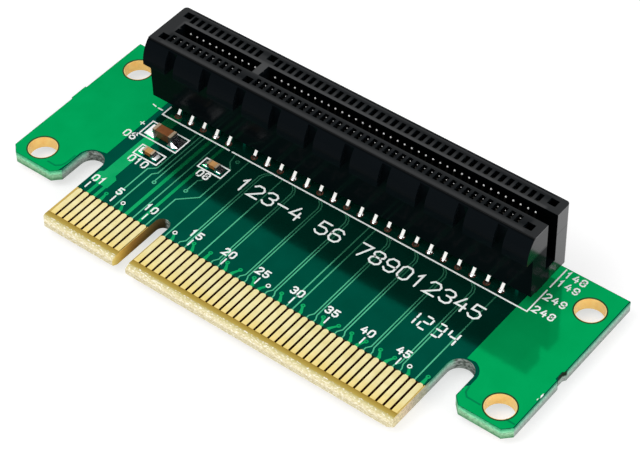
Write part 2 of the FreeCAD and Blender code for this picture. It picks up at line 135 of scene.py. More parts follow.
class Nodes:
    """Short calls for building one material's node tree."""

    def __init__(self, name):
        self.material = bpy.data.materials.new(name)
        self.material.use_nodes = True
        self.tree = self.material.node_tree
        self.shader = self.tree.nodes["Principled BSDF"]
        self.place = self.add("ShaderNodeTexCoord").outputs["Object"]

    def add(self, kind, **settings):
        node = self.tree.nodes.new(kind)
        for key, value in settings.items():
            setattr(node, key, value)
        return node

    def link(self, source, target):
        self.tree.links.new(source, target)

    def feed(self, socket, value):
        """Gives a socket either a constant or another node's output."""
        if isinstance(value, bpy.types.NodeSocket):
            self.link(value, socket)
        else:
            socket.default_value = value

    def noise(self, size_mm, detail=3.0, stretch=(1, 1, 1)):
        mapping = self.add("ShaderNodeMapping")
        mapping.inputs["Scale"].default_value = [s / (size_mm * MM) for s in stretch]
        self.link(self.place, mapping.inputs["Vector"])
        noise = self.add("ShaderNodeTexNoise")
        noise.inputs["Scale"].default_value = 1.0
        noise.inputs["Detail"].default_value = detail
        self.link(mapping.outputs["Vector"], noise.inputs["Vector"])
        return noise.outputs["Fac"]

    def ramp(self, factor, *stops):
        """Colours or grey levels, each at its position."""
        ramp = self.add("ShaderNodeValToRGB")
        elements = ramp.color_ramp.elements
        while len(elements) < len(stops):
            elements.new(0.5)
        for element, (position, colour) in zip(elements, stops):
            element.position = position
            element.color = (*(colour if isinstance(colour, tuple) else grey(colour)), 1)
        self.link(factor, ramp.inputs["Fac"])
        return ramp.outputs["Color"]

    def cloudy(self, noise, first, second):
        """Two colours or levels, wandering from one to the other."""
        return self.ramp(noise, (0.3, first), (0.7, second))

    def math(self, operation, first, second=0.0):
        node = self.add("ShaderNodeMath", operation=operation)
        self.feed(node.inputs[0], first)
        self.feed(node.inputs[1], second)
        return node.outputs["Value"]

    def both(self, first, second):
        return self.math("MULTIPLY", first, second)

    def either(self, first, second):
        return self.math("MAXIMUM", first, second)

    def absolute(self, value):
        return self.math("ABSOLUTE", value)

    def away(self, value, middle_mm):
        """Distance along an axis from a place on the part."""
        return self.absolute(self.math("SUBTRACT", value, middle_mm * MM))

    def span(self, value, start, end, first=0.0, last=1.0):
        """First amount up to start, last one from end on, straight between."""
        node = self.add("ShaderNodeMapRange")
        self.feed(node.inputs["Value"], value)
        for socket, amount in (("From Min", start), ("From Max", end),
                               ("To Min", first), ("To Max", last)):
            node.inputs[socket].default_value = amount
        return node.outputs["Result"]

    def zone(self, value, start_mm, end_mm, first=0.0, last=1.0):
        """The same between two places on the part."""
        return self.span(value, start_mm * MM, end_mm * MM, first, last)

    def mix(self, factor, first, second, blend="MIX"):
        node = self.add("ShaderNodeMix", data_type="RGBA", blend_type=blend)
        self.feed(node.inputs[0], factor)
        for socket, value in ((node.inputs[6], first), (node.inputs[7], second)):
            self.feed(socket, (*value, 1) if isinstance(value, tuple) else value)
        return node.outputs[2]

    def axes(self, vector):
        node = self.add("ShaderNodeSeparateXYZ")
        self.link(vector, node.inputs["Vector"])
        return node.outputs["X"], node.outputs["Y"], node.outputs["Z"]

    def normal(self):
        return self.axes(self.add("ShaderNodeNewGeometry").outputs["Normal"])

    def bump(self, height, distance_mm):
        node = self.add("ShaderNodeBump")
        node.inputs["Strength"].default_value = 1.0
        node.inputs["Distance"].default_value = distance_mm * MM
        self.link(height, node.inputs["Height"])
        self.link(node.outputs["Normal"], self.shader.inputs["Normal"])

    def set(self, **values):
        for name, value in values.items():
            self.feed(self.shader.inputs[name.replace("_", " ")], value)


def mottled(name, dark, light, size_mm, roughness, metallic=0.0, bump_mm=0.0, **more):
    """A material whose colour and roughness wander a little between two tones."""
    made = Nodes(name)
    made.set(Base_Color=made.cloudy(made.noise(size_mm), dark, light), Metallic=metallic,
             Roughness=made.cloudy(made.noise(size_mm * 0.35, detail=2.0), *roughness), **more)
    if bump_mm:
        made.bump(made.noise(size_mm * 0.25), bump_mm)
    return made.material


# At a low angle the mask mirrors in bright green, and the gaps between the contacts in brown.
MASK_EDGE = (0.0, 1.0, 0.75)
GAP_EDGE = (0.35, 0.10, 0.0)


def mask_waves(made):
    """The mask is not quite even."""
    made.bump(made.noise(0.9, detail=1.0), 0.003)


def mask_over_copper(name, dark, light, roughness=0.09, metallic=0.36):
    """Green mask with copper under it, which shines through as a metal."""
    made = Nodes(name)
    made.set(Base_Color=made.cloudy(made.noise(3.0, detail=4.0), dark, light),
             Roughness=roughness, Metallic=metallic,
             Specular_IOR_Level=0.0, Specular_Tint=(*MASK_EDGE, 1))
    mask_waves(made)
    return made.material


def wall_material(made, x, y, z, nx):
    """Sawn laminate: green under the mask, paler fibres in the middle, darker below."""
    depth = made.zone(z, 0.0, TOP)
    # the laminate's colour is given twice, as lit on walls facing front and on walls facing
    # right: painted light
    facing_front = made.ramp(depth,
                             (0.10, (0.14, 0.35, 0.185)), (0.30, (0.27, 0.54, 0.31)),
                             (0.50, (0.36, 0.69, 0.42)), (0.70, (0.28, 0.82, 0.47)),
                             (0.92, (0.07, 0.50, 0.24)))
    facing_right = made.ramp(depth,
                             (0.10, (0.36, 0.41, 0.38)), (0.30, (0.41, 0.47, 0.43)),
                             (0.50, (0.41, 0.58, 0.48)), (0.70, (0.35, 0.64, 0.50)),
                             (0.90, (0.06, 0.33, 0.20)))
    # torn resin in the notches, with painted shade that darkens them towards their ends
    torn = made.noise(0.4, detail=4.0, stretch=(1, 1, 1.5))
    notch_resin_and_shade = made.ramp(torn, (0.40, (0.12, 0.15, 0.13)), (0.50, (0.33, 0.38, 0.35)),
                         (0.62, (0.58, 0.63, 0.60)))
    notch_resin_and_shade = made.mix(made.zone(y, *NOTCH_SHADE, 0.0, 0.4), notch_resin_and_shade, (0.09, 0.10, 0.09))
    front = made.mix(made.zone(y, TABS_START, TABS_START + 1.2), facing_front, notch_resin_and_shade)
    # the side of the card edge that faces right has no mask, and is warmer towards its nose
    warm = made.ramp(made.zone(y, 0.0, WARM_END),
                     (0.15, (0.90, 0.77, 0.47)), (0.38, (0.78, 0.62, 0.43)),
                     (0.58, (0.55, 0.50, 0.37)), (0.78, (0.50, 0.49, 0.37)))
    on_edge = made.both(made.zone(x, EDGE_RIGHT + 0.5, EDGE_RIGHT),
                        made.zone(y, TABS_START, TABS_START - 1.0))
    facing_right = made.mix(on_edge, facing_right, warm)
    plain = made.mix(made.span(nx, 0.75, 0.92), front, facing_right)
    fibres = made.ramp(made.noise(0.28, stretch=(1, 1, 1.6)),
                       (0.32, (0.60, 0.61, 0.60)), (0.62, grey(1)))
    cloth = made.mix(1.0, plain, fibres, blend="MULTIPLY")
    # the key notch was cut through gold and resin; painted shade darkens it towards its end
    key_gold_and_shade = made.ramp(made.zone(y, 0.0, KEY_DEPTH),
                       (0.0, (0.95, 0.72, 0.22)), (0.18, (0.66, 0.37, 0.065)),
                       (0.42, (0.36, 0.17, 0.037)), (0.75, (0.17, 0.10, 0.030)),
                       (1.0, (0.05, 0.04, 0.02)))
    in_key = made.both(made.zone(made.absolute(x), KEY_HALF + 0.25, KEY_HALF + 0.15),
                       made.span(nx, 0.05, 0.35))
    # the broken tab on the right edge left dark resin under the mask
    chip = made.both(made.zone(made.away(y, CHIP_Y), 1.1, 0.8),
                     made.zone(x, CHIP_X, CHIP_X + 0.3))
    chip = made.both(chip, made.zone(z, TOP - CHIP_DEPTH, TOP - CHIP_DEPTH + 0.3))
    return made.mix(chip, made.mix(in_key, cloth, key_gold_and_shade), (0.01, 0.022, 0.012))


def nose_material(made, y, upright):
    """Bevel of the card edge: golden on its slope, with brown fibres, and pale specks that are
    painted glints.
    """
    streaks = made.noise(0.4, stretch=(0.5, 4, 4))
    slope = made.ramp(made.zone(y, 0.0, BEVEL_END),
                      (0.1, (0.80, 0.72, 0.48)), (0.4, (0.74, 0.66, 0.39)),
                      (0.7, (0.63, 0.57, 0.29)), (1.0, (0.44, 0.37, 0.12)))
    edge = made.ramp(streaks, (0.35, (0.60, 0.50, 0.26)), (0.65, (0.86, 0.80, 0.56)))
    nose = made.mix(made.span(upright, 0.3, 0.6), edge, slope)
    fibres_and_glints = made.noise(0.22, detail=2.0, stretch=(0.7, 1.5, 1.5))
    # pale specks on the bevel are painted glints
    nose = made.mix(made.span(fibres_and_glints, 0.54, 0.66, 0.0, 0.75), nose, (1.0, 0.97, 0.88))
    return made.mix(made.span(fibres_and_glints, 0.44, 0.36, 0.0, 0.45), nose, (0.52, 0.42, 0.19))


def bare_top(made, x, y):
    """Upper face where there is no mask: between the contacts, beside them and before them."""
    gap = made.cloudy(made.noise(0.7), (0.008, 0.002, 0.0002), (0.020, 0.005, 0.0006))
    beside = made.math("ADD", made.zone(x, fingers_low.x, fingers_low.x - 0.02),
                       made.zone(x, fingers_high.x, fingers_high.x + 0.02))
    near_key = made.zone(made.absolute(x), KEY_HALF + 0.10, KEY_HALF + 0.08)
    gap = made.mix(made.either(beside, near_key), gap, (0.62, 0.44, 0.12))
    strip = made.ramp(made.zone(y, BEVEL_END, STRIP_END),
                      (0.0, (0.52, 0.39, 0.09)), (1.0, (0.36, 0.24, 0.04)))
    return made.mix(made.zone(y, STRIP_END - 0.02, STRIP_END + 0.02), strip, gap)


def board_material():
    """Solder mask on the two faces, bare laminate on the bevels and the walls."""
    made = Nodes("mask_and_laminate")
    x, y, z = made.axes(made.place)
    nx, _, nz = made.normal()
    upright = made.absolute(nz)
    flat = made.span(upright, 0.93, 0.97)
    on_tabs = made.zone(made.away(x, EDGE_MIDDLE), EDGE_HALF - 0.1, EDGE_HALF + 0.1)
    behind_gold = made.zone(y, MASK_START - 0.02, MASK_START + 0.05)
    masked = made.both(flat, made.either(on_tabs, behind_gold))
    mask = made.cloudy(made.noise(2.5, detail=4.0),
                       (0.0002, 0.066, 0.041), (0.0004, 0.077, 0.049))
    on_nose = made.both(made.zone(y, BEVEL_END + 0.20, BEVEL_END + 0.15),
                        made.span(made.absolute(nx), 0.95, 0.85))
    walls = made.mix(on_nose, wall_material(made, x, y, z, nx), nose_material(made, y, upright))
    bare = made.mix(flat, walls, bare_top(made, x, y))
    made.set(Base_Color=made.mix(masked, bare, mask),
             Roughness=made.span(masked, 0.0, 1.0, 0.85, 0.11),
             Metallic=made.span(masked, 0.0, 1.0, 0.0, 0.76),
             Specular_IOR_Level=made.span(masked, 0.0, 1.0, 0.13, 0.0),
             Specular_Tint=made.mix(masked, GAP_EDGE, MASK_EDGE))
    mask_waves(made)
    return made.material


def wall_gloss(made, y, z, front):
    """Gloss of the slot's walls, set to paint shade: next to none in front, and less under the
    seam of the front wall's end.
    """
    rear = made.zone(y, SLOT_MIDDLE - 0.2, SLOT_MIDDLE + 0.2)
    under = made.zone(z, SEAM - 0.3, SEAM + 0.1, 0.02, 0.26)
    walls = made.mix(front, made.mix(rear, under, grey(0.66)), grey(0.012))
    return made.both(walls, made.zone(made.away(z, SEAM), 0.04, 0.12, 0.55, 1.0))


def top_gloss(made, x, y):
    """Gloss of the slot's rails between the rows of windows, of their ends and of the rib, set
    in bands that paint their reflections.
    """
    rails = made.ramp(made.zone(y, SLOT_MIDDLE - RAILS_HALF, SLOT_MIDDLE + RAILS_HALF),
                      (0.0, 0.20), (0.035, 0.38), (0.06, 0.36), (0.10, 0.18), (0.157, 0.055),
                      (0.214, 0.07), (0.271, 0.10), (0.329, 0.15), (0.36, 0.25), (0.64, 0.60),
                      (0.675, 0.54), (0.71, 0.28), (0.786, 0.22), (0.843, 0.11), (0.90, 0.10),
                      (0.945, 0.26), (0.957, 0.26), (0.965, 0.0))
    middle = (housing_low.x + housing_high.x) / 2
    rails_end = housing_high.x - middle - RAILS_STOP
    ends = made.zone(made.away(x, middle), rails_end, rails_end + 0.4)
    rib = made.both(made.zone(made.away(x, RIB_X), RIB_HALF + 0.15, RIB_HALF),
                    made.zone(made.away(y, SLOT_MIDDLE), CHANNEL_HALF + 0.15, CHANNEL_HALF))
    return made.mix(rib, made.mix(ends, rails, grey(0.24)), grey(0.62))


def housing_material():
    """Black polymer, glossy above and at the ends; its front, painted as shade, has next to no
    gloss and near-black recesses.
    """
    made = Nodes("black_polymer")
    x, y, z = made.axes(made.place)
    _, ny, nz = made.normal()
    skin = made.cloudy(made.noise(6.0, detail=4.0, stretch=(0.25, 1, 1)),
                       (0.0022, 0.0036, 0.0048), (0.0036, 0.0052, 0.0066))
    front = made.span(made.math("MULTIPLY", ny, -1.0), 0.25, 0.65)
    # faces set back behind the front panels are painted near black: painted shade
    shaded_recess = made.both(made.zone(y, PANELS_BACK, PANELS_BACK + 0.2), front)
    grain = made.noise(0.15, detail=2.0)
    level = made.mix(made.span(nz, 0.88, 0.95), wall_gloss(made, y, z, front),
                     top_gloss(made, x, y))
    # painted highlights on the upper edges, dimmer on the front lip, and none behind
    edge_highlight = made.both(made.span(nz, 0.98, 0.93), made.zone(z, SLOT_TOP - 0.13, SLOT_TOP - 0.09))
    edge_highlight = made.both(edge_highlight, made.zone(y, LIP_REAR, LIP_REAR + 0.2, 1.0, 0.0))
    lip = made.mix(made.zone(y, LIP_FRONT, LIP_FRONT + 0.13), grey(0.10), grey(0.85))
    made.set(Base_Color=made.mix(shaded_recess, skin, (0.0004, 0.0008, 0.0010)),
             Roughness=made.cloudy(grain, 0.10, 0.18),
             Specular_IOR_Level=made.mix(edge_highlight, level, lip))
    made.bump(grain, 0.0008)
    return made.material


def fired_material(name, above, side, edge, metallic=0.0):
    """Fired body or end cap: paler above than on its sides, as painted light and shade, and
    palest on its edges, as painted highlights.
    """
    made = Nodes(name)
    nz = made.normal()[2]
    cloud = made.noise(0.5)
    tones = [made.cloudy(cloud, colour, tuple(c * 1.3 for c in colour))
             for colour in (side, above)]
    body = made.mix(made.span(nz, 0.3, 0.8), *tones)
    edge_highlight = made.both(made.span(nz, 0.2, 0.5), made.span(nz, 0.97, 0.85))
    made.set(Base_Color=made.mix(edge_highlight, body, edge), Roughness=0.35, Metallic=metallic,
             Specular_IOR_Level=0.15)
    made.bump(made.noise(0.2), 0.003)
    return made.material


def finger_material():
    """Soft gold, deeper where the contact meets the bevel."""
    made = Nodes("gold_finger")
    y = made.axes(made.place)[1]
    cloud = made.noise(1.1)
    near = made.cloudy(cloud, (0.86, 0.68, 0.22), (0.94, 0.76, 0.30))
    far = made.cloudy(cloud, (0.82, 0.71, 0.33), (0.93, 0.83, 0.45))
    made.set(Base_Color=made.mix(made.zone(y, STRIP_END, STRIP_END + 2.0), near, far),
             Metallic=0.85, Roughness=made.cloudy(made.noise(0.4, detail=2.0), 0.30, 0.42))
    made.bump(made.noise(0.28), 0.002)
    return made.material


def spring_material():
    """Bright plated tails; the springs in their cavities are painted dark, as painted shade
    inside the slot.
    """
    made = Nodes("spring_metal")
    z = made.axes(made.place)[2]
    cloud = made.noise(0.5)
    bright = made.cloudy(cloud, (0.80, 0.79, 0.75), (0.93, 0.92, 0.90))
    shaded_in_slot = made.cloudy(cloud, (0.020, 0.019, 0.016), (0.05, 0.048, 0.042))
    inside = made.zone(z, SPRINGS_START, SPRINGS_START + 0.8)
    made.set(Base_Color=made.mix(inside, bright, shaded_in_slot), Metallic=0.85, Roughness=0.28)
    return made.material


MATERIALS = {
    "board": board_material(),
    "pour": mask_over_copper("mask_on_pour", (0.0002, 0.355, 0.094), (0.0008, 0.385, 0.106)),
    "land": mask_over_copper("mask_on_land", (0.004, 0.35, 0.11), (0.012, 0.41, 0.14),
                             roughness=0.22, metallic=0.85),
    "edge_line": mask_over_copper("mask_on_edge", (0.001, 0.20, 0.065), (0.002, 0.24, 0.085)),
    "trace": mask_over_copper("mask_on_trace", (0.08, 0.46, 0.25), (0.11, 0.58, 0.33),
                              roughness=0.2, metallic=0.8),
    "silk": mottled("white_print", (0.93, 0.95, 0.93), (0.99, 1.0, 0.99), 0.4, (0.5, 0.65),
                    bump_mm=0.003),
    "rim": mottled("dark_rim", (0.004, 0.03, 0.010), (0.012, 0.06, 0.022), 0.6, (0.3, 0.4),
                   Specular_IOR_Level=0.1),
    "finger": finger_material(),
    "sleeve": mottled("gold_barrel", (0.96, 0.60, 0.17), (1.0, 0.72, 0.25), 0.9, (0.28, 0.42),
                      metallic=0.6, bump_mm=0.004),
    "housing": housing_material(),
    "contact": spring_material(),
    # white beads for the contacts' painted glints
    "glint": mottled("painted_glint", (0.92, 0.92, 0.90), (0.99, 0.99, 0.98), 0.3,
                     (0.25, 0.3), metallic=0.1),
    "solder": mottled("bright_solder", (0.86, 0.87, 0.88), (0.96, 0.96, 0.96), 0.6,
                      (0.12, 0.2), metallic=1.0),
    # solder painted dark, as shaded
    "shaded_solder": mottled("shaded_solder", (0.045, 0.028, 0.022), (0.13, 0.09, 0.07), 0.25,
                           (0.3, 0.4), metallic=0.8),
    "copper": mottled("bare_copper", (0.11, 0.035, 0.02), (0.20, 0.075, 0.045), 0.3,
                      (0.35, 0.5), metallic=0.6),
    "ceramic_brown": fired_material("brown_ceramic", (0.19, 0.068, 0.023),
                                    (0.055, 0.020, 0.006), (0.42, 0.28, 0.18)),
    "ceramic_tan": fired_material("tan_ceramic", (0.48, 0.26, 0.095), (0.19, 0.07, 0.015),
                                  (0.66, 0.50, 0.32)),
    "cap_end": fired_material("tinned_end", (0.46, 0.36, 0.25), (0.030, 0.030, 0.026),
                              (0.74, 0.68, 0.58), metallic=0.3),
}

# A CAD node takes the look of the first of these words that its name holds.
NODE_LOOKS = {
    "board": "board", "fingers": "finger", "sleeve": "sleeve", "housing": "housing",
    "contacts": "contact", "ends": "cap_end", "solder": "solder",
    "capacitor_large": "ceramic_brown", "capacitor": "ceramic_tan",
}
# Width of the softened edges, by how a node's name starts.
BEVELS = {"slot_housing": 0.09, "capacitor": 0.06, "circuit_board": 0.03}
SHARP_ANGLE = math.radians(40)


def soften(thing, width_mm):
    bevel = thing.modifiers.new("edges", "BEVEL")
    bevel.width = width_mm * MM
    bevel.segments = 2
    bevel.limit_method = "ANGLE"
    bevel.angle_limit = SHARP_ANGLE
    bevel.harden_normals = True


for node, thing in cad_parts.items():
    look = next(look for word, look in NODE_LOOKS.items() if word in node)
    thing.data.materials.clear()
    thing.data.materials.append(MATERIALS[look])
    for start, width in BEVELS.items():
        if node.startswith(start):
            soften(thing, width)


# ---------------------------------------------------------------- flat pieces

def new_piece(name, mesh, look):
    data = bpy.data.meshes.new(name)
    mesh.normal_update()
    mesh.to_mesh(data)
    mesh.free()
    data.materials.append(MATERIALS[look])
    piece = bpy.data.objects.new(name, data)
    bpy.context.scene.collection.objects.link(piece)
    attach(piece, "root")
    return piece


def ring_points(x, y, radius, sides=24, start=0.0, turn=2 * math.pi):
    """Points round a circle, or along an arc with both its ends."""
    steps = sides if abs(turn - 2 * math.pi) < 1e-6 else sides + 1
    return [(x + radius * math.cos(start + turn * i / sides),
             y + radius * math.sin(start + turn * i / sides)) for i in range(steps)]


def circle(mesh, x, y, z, radius, sides):
    return [mesh.verts.new(Vector((a, b, z)) * MM) for a, b in ring_points(x, y, radius, sides)]


def band(mesh, lower, upper):
    """Faces between two closed loops of as many points."""
    return [mesh.faces.new(corners) for corners in
            zip(lower, lower[1:] + lower[:1], upper[1:] + upper[:1], upper)]


def slab(mesh, outline, base, thickness):
    """Upright-sided slab over a closed outline, given as (x, y)."""
    face = mesh.faces.new([mesh.verts.new(Vector((x, y, base)) * MM) for x, y in outline])
    face.normal_update()
    if face.normal.z > 0:
        face.normal_flip()
    lower = list(face.verts)
    upper = [mesh.verts.new(v.co + Vector((0, 0, thickness * MM))) for v in lower]
    mesh.faces.new(upper[::-1])
    band(mesh, upper, lower)


def ring(mesh, x, y, inner, outer, base, thickness, sides=24):
    """Flat washer."""
    top = base + thickness
    loops = [circle(mesh, x, y, z, radius, sides)
             for radius, z in ((inner, base), (outer, base), (outer, top), (inner, top))]
    for first, second in zip(loops, loops[1:] + loops[:1]):
        band(mesh, second, first)


def stroke(mesh, points, width, base, thickness, closed=False, round_ends=True):
    """Line of even width along points, with mitred corners."""
    points = [Vector(p) for p in points]
    count = len(points)
    half = width / 2
    left, right = [], []
    for i, point in enumerate(points):
        before = points[i - 1] if closed or i else None
        after = points[(i + 1) % count] if closed or i < count - 1 else None
        into = (point - before).normalized() if before is not None else None
        out = (after - point).normalized() if after is not None else None
        into = into or out
        out = out or into
        side = Vector((-(into + out).y, (into + out).x)).normalized()
        reach = half / max(0.35, side.dot(Vector((-into.y, into.x))))
        left.append(point + side * reach)
        right.append(point - side * reach)
    if closed:
        for i in range(count):
            j = (i + 1) % count
            slab(mesh, [left[i], left[j], right[j], right[i]], base, thickness)
        return
    caps = [[], []]
    if round_ends:
        ends = ((points[-1], points[-1] - points[-2]), (points[0], points[0] - points[1]))
        for cap, (end, way) in zip(caps, ends):
            start = math.atan2(way.y, way.x) + math.pi / 2
            cap += [Vector(p) for p in ring_points(*end, half, 6, start, -math.pi)][1:-1]
    slab(mesh, left + caps[0] + right[::-1] + caps[1], base, thickness)


def plate(mesh, outline, holes, base, thickness):
    """Slab with round holes, given as (x, y, radius)."""
    curve = bpy.data.curves.new("plate", "CURVE")
    curve.dimensions = "2D"
    curve.fill_mode = "BOTH"
    curve.extrude = thickness * MM / 2
    for loop in [outline] + [ring_points(x, y, radius, 64) for x, y, radius in holes]:
        spline = curve.splines.new("POLY")
        spline.points.add(len(loop) - 1)
        for point, (x, y) in zip(spline.points, loop):
            point.co = (x * MM, y * MM, 0, 1)
        spline.use_cyclic_u = True
    holder = bpy.data.objects.new("plate", curve)
    made = bpy.data.meshes.new_from_object(holder)
    made.transform(Matrix.Translation((0, 0, (base + thickness / 2) * MM)))
    mesh.from_mesh(made)
    bpy.data.objects.remove(holder)
    bpy.data.meshes.remove(made)
    bpy.data.curves.remove(curve)


# ---------------------------------------------------------------- copper under the mask

COPPER = 0.02
TRACE = COPPER * 0.8
RIM = COPPER * 1.2
HOLE_CLEAR = 0.17
QUARTER = math.pi / 2
POUR_LEFT = -23.1
POUR_RIGHT = 49.93
POUR_BACK = board_high.y - 0.05

LEFT_POUR = [(POUR_LEFT, POUR_BACK), (POUR_LEFT, 20.02), (-23.3, 20.02), (-23.3, 17.58),
             (POUR_LEFT, 17.58), (POUR_LEFT, 7.32), (-22.13, MASK_START), (-16.6, MASK_START),
             (-15.9, 7.05), (-15.75, 8.8)]
LEFT_POUR += ring_points(*LEFT_NOTCH, NOTCH_RADIUS + 0.2, 16, math.pi, -QUARTER * 0.75)
LEFT_POUR += [(-13.15, 12.72), (-13.15, POUR_BACK)]
RIGHT_POUR = [(40.3, 12.3)]
RIGHT_POUR += ring_points(*RIGHT_NOTCH, NOTCH_RADIUS + 0.45, 16, QUARTER * 0.8, -QUARTER * 0.8)
RIGHT_POUR += [(42.85, 9.3), (42.48, 8.9), (42.48, 7.32), (43.43, MASK_START),
               (49.0, MASK_START), (POUR_RIGHT, 7.3), (POUR_RIGHT, 15.55), (49.7, 15.65),
               (49.7, 16.95), (POUR_RIGHT, 17.05), (POUR_RIGHT, POUR_BACK), (40.3, POUR_BACK)]


def clear_holes(outline):
    """The mounting holes that an area of copper leaves open."""
    xs = [x for x, y in outline]
    ys = [y for x, y in outline]
    return [(spot.x, spot.y, outer + HOLE_CLEAR) for spot, outer in hole_places
            if min(xs) < spot.x < max(xs) and min(ys) < spot.y < max(ys)]


pours = bmesh.new()
for outline in (LEFT_POUR, RIGHT_POUR):
    plate(pours, outline, clear_holes(outline), TOP, COPPER)
new_piece("copper_pours", pours, "pour")

# Where the copper ends under the mask, a thin step in the green.
COPPER_STEPS = (
    [(-18.0, 7.45), (-16.75, 7.45), (-16.15, 7.95), (-15.98, 8.6), (-15.95, 10.2)],
    [(42.85, 9.2), (43.0, 8.3), (43.5, 7.78), (45.35, 7.75)],
    [(48.65, 7.75), (49.85, 7.75)],
)
STEP_WIDTH = 0.22
steps = bmesh.new()
for path in COPPER_STEPS:
    stroke(steps, path, STEP_WIDTH, TOP, RIM, round_ends=False)
new_piece("pour_edges", steps, "edge_line")

# Copper beside the large capacitor, and broad tracks: contact number, width, start and end.
LANDS_BACK = 22.6
CAPACITOR_LAND = [(-11.4, LANDS_BACK), (-11.4, 10.3), (-11.85, 9.9), (-11.85, 8.25),
                  (-9.15, 8.25), (-9.15, 9.95), (-9.7, 10.4), (-9.7, LANDS_BACK)]
BROAD_TRACKS = ((2, 0.45, MASK_START, 8.25), (3, 0.45, MASK_START, 8.25),
                (8, 0.5, MASK_START, LANDS_BACK), (10, 0.42, MASK_START, LANDS_BACK))
lands = bmesh.new()
slab(lands, CAPACITOR_LAND, TOP, COPPER)
for number, width, low, high in BROAD_TRACKS:
    x = contact_x(number)
    stroke(lands, [(x, low), (x, high)], width, TOP, COPPER, round_ends=False)
new_piece("copper_lands", lands, "land")

# Traces by contact number: points from the head of the contact, across and along.
SINGLE = 0.17
TO_SLOT = 15.6
SINGLES = {
    5: [(0, 1.6), (0, 7.35), (0.75, 8.0), (0.85, 8.3), (0.85, TO_SLOT)],
    6: [(0, 0), (0, 6.95), (0.5, 7.5), (0.5, TO_SLOT)],
    7: [(0.05, 6.3), (0.05, TO_SLOT)],
    9: [(0.05, 0), (0.05, TO_SLOT)],
    11: [(0.05, 0), (0.05, 5.4), (2.12, 7.35), (2.12, 11.3)],
    12: [(0, 0), (0, TO_SLOT)],
    17: [(0.1, 0), (0.1, TO_SLOT)],
    30: [(0.1, 0), (0.1, TO_SLOT)],
    31: [(-0.05, 0), (-0.05, TO_SLOT)],
    48: [(0.05, 0), (0.05, TO_SLOT)],
}
# Two short traces, behind and in front of the right capacitor, and vias near the traces.
SHORT_TRACES = ([(0.6, 19.4), (-0.3, 20.4), (-0.6, 21.7)],
                [(-1.0, 16.1), (-1.4, 15.7), (-1.4, 13.85)])
TRACE_VIAS = ((-1.4, 13.55), (-5.35, 12.4), (0.4, 21.0))
TRACE_VIA = (0.13, 0.29)
# Pairs by the number of their left contact: middle beside it, and the lean at the slot.
PAIR = 0.15
PAIR_HALF = 0.185
PAIR_BEND = 20.7
PAIRS = {14: (0.65, 1), 19: (0.55, -1), 23: (0.57, -1), 27: (0.55, -1), 33: (0.55, -1),
         37: (0.55, -1), 41: (0.57, -1), 45: (0.55, -1)}

traces = bmesh.new()
for number, path in SINGLES.items():
    x = contact_x(number)
    stroke(traces, [(x + a, FINGER_TOP + b) for a, b in path], SINGLE, TOP, TRACE)
for number, (middle, lean) in PAIRS.items():
    for side, foot in ((-1, contact_x(number)), (1, contact_x(number + 1))):
        x = contact_x(number) + middle + PAIR_HALF * side
        stroke(traces, [
            (foot, FINGER_TOP), (foot, FINGER_TOP + 0.45), (x, FINGER_TOP + 1.0),
            (x, PAIR_BEND), (x + 0.25 * lean, PAIR_BEND + 0.6),
            (x + 0.75 * lean, PAIR_BEND + 1.1),
        ], PAIR, TOP, TRACE)
for path in SHORT_TRACES:
    stroke(traces, path, SINGLE, TOP, TRACE)
for place in TRACE_VIAS:
    ring(traces, *place, *TRACE_VIA, TOP, TRACE)
new_piece("copper_traces", traces, "trace")

# Vias at the heads of the contacts: contact number -> place of the via beside the contact.
VIAS = {4: -0.1, 7: -0.45, 13: -0.4, 16: -0.5, 18: 0.0, 21: -0.45, 22: 0.45, 25: -0.5,
        26: 0.55, 29: -0.5, 32: -0.42, 35: -0.5, 36: 0.65, 39: -0.5, 40: 0.5, 43: -0.5,
        44: 0.45, 47: -0.5, 49: 0.0}
OPEN_VIAS = (7, 13, 26, 47)
VIA_Y = 7.55
OPEN_VIA = (0.17, 0.30)
OPEN_VIA_HEIGHT = 0.05
VIA_HOLE_HEIGHT = 0.03
CLOSED_VIA = (0.12, 0.28)
STUB_FOOT = 0.23
STUB_HEAD = 0.14
stubs = bmesh.new()
rings = bmesh.new()
holes = bmesh.new()
for number, aside in VIAS.items():
    x = contact_x(number)
    via_x = x + aside
    slab(stubs, [
        (x - STUB_FOOT, FINGER_TOP - 0.02), (x + STUB_FOOT, FINGER_TOP - 0.02),
        (x + STUB_FOOT, FINGER_TOP + 0.3), (via_x + STUB_HEAD, VIA_Y),
        (via_x - STUB_HEAD, VIA_Y), (x - STUB_FOOT, FINGER_TOP + 0.3),
    ], TOP, COPPER)
    if number in OPEN_VIAS:
        ring(rings, via_x, VIA_Y, *OPEN_VIA, TOP, OPEN_VIA_HEIGHT)
        # a dark disc in an open via paints the shade in its hole
        slab(holes, ring_points(via_x, VIA_Y, OPEN_VIA[0], 16), TOP, VIA_HOLE_HEIGHT)
    else:
        ring(stubs, via_x, VIA_Y, *CLOSED_VIA, TOP, COPPER * 1.4)
new_piece("via_stubs", stubs, "land")
new_piece("via_rings", rings, "silk")
new_piece("via_hole_shade", holes, "rim")

hole_rims = bmesh.new()
for spot, outer in hole_places:
    ring(hole_rims, spot.x, spot.y, outer, outer + HOLE_CLEAR, TOP, RIM, sides=64)
new_piece("hole_rims", hole_rims, "rim")


# ---------------------------------------------------------------- small things on the slot

# Painted glints of the contacts, as small white beads: away from the slot's middle, below its
# top, aside, and radius.
CONTACT_GLINTS = (
    (0.94, 1.23, 0.30, 0.125), (-0.94, 1.23, -0.30, 0.125),
    (1.82, 0.48, 0.22, 0.14), (-1.64, 0.30, 0.0, 0.06),
)
points = bmesh.new()
for number in range(1, CONTACTS + 1):
    for away, drop, aside, radius in CONTACT_GLINTS:
        spot = Vector((contact_x(number) + aside, SLOT_MIDDLE + away, SLOT_TOP - drop))
        bmesh.ops.create_icosphere(points, subdivisions=2, radius=radius * MM,
                                   matrix=Matrix.Translation(spot * MM))
new_piece("contact_glints", points, "glint")


